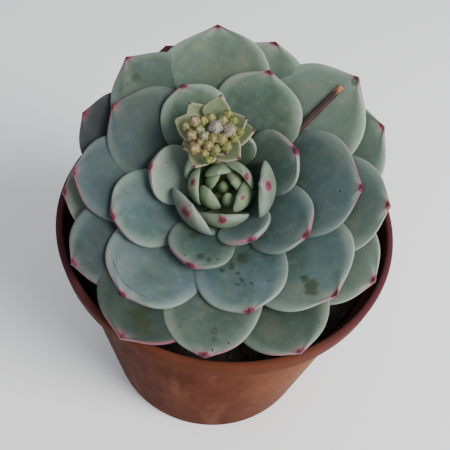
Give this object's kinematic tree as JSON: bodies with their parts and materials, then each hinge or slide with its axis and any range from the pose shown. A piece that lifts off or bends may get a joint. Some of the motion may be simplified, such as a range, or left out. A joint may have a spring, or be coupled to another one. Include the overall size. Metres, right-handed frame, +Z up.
{
  "type": "potted rosette succulent",
  "caption": "Rosette succulent with thick spoon-shaped leaves in a golden-angle spiral, a young flower head and a tapered round plastic pot of soil.",
  "frame": {"origin": "middle of the pot's foot, on the surface it stands on", "axes": "+Z up along the pot's axis, -Y towards the side the rosette leans to, +X to the right seen from there"},
  "size_m": [0.12, 0.12, 0.1471],
  "materials": {
    "pot_plastic": "satin",
    "soil": "dark crumbly potting soil, matt",
    "stem_bark": "green-brown corky stem with leaf scars",
    "leaf_skin": "thick waxy leaf, grey green with a pale bloom, pink edge and red tip",
    "bract_skin": "young waxy bract, pale green with a dark red tip",
    "bud_skin": "closed flower bud, cream green with pink",
    "dry_stalk": "dry brown old flower stalk with an orange broken end"
  },
  "bodies": {
    "root": {"pot": "pot_plastic", "soil": "soil", "stem": "stem_bark", "rosette_heart": "leaf_skin", "leaf_01": "leaf_skin", "leaf_02": "leaf_skin", "leaf_03": "leaf_skin", "leaf_04": "leaf_skin", "leaf_05": "leaf_skin", "leaf_06": "leaf_skin", "leaf_07": "leaf_skin", "leaf_08": "leaf_skin", "leaf_09": "leaf_skin", "leaf_10": "leaf_skin", "leaf_11": "leaf_skin", "leaf_12": "leaf_skin", "leaf_13": "leaf_skin", "leaf_14": "leaf_skin", "leaf_15": "leaf_skin", "leaf_16": "leaf_skin", "leaf_17": "leaf_skin", "leaf_18": "leaf_skin", "leaf_19": "leaf_skin", "leaf_20": "leaf_skin", "leaf_21": "leaf_skin", "leaf_22": "leaf_skin", "leaf_23": "leaf_skin", "leaf_24": "leaf_skin", "leaf_25": "leaf_skin", "leaf_26": "leaf_skin", "leaf_27": "leaf_skin", "leaf_28": "leaf_skin", "leaf_29": "leaf_skin", "leaf_30": "leaf_skin", "leaf_31": "leaf_skin", "leaf_32": "leaf_skin", "leaf_33": "leaf_skin", "leaf_34": "leaf_skin", "leaf_35": "leaf_skin", "leaf_36": "leaf_skin", "leaf_37": "leaf_skin", "flower_stalk": "bract_skin", "flower_buds": "bud_skin", "dry_flower_stalk": "dry_stalk"}
  },
  "joints": []
}
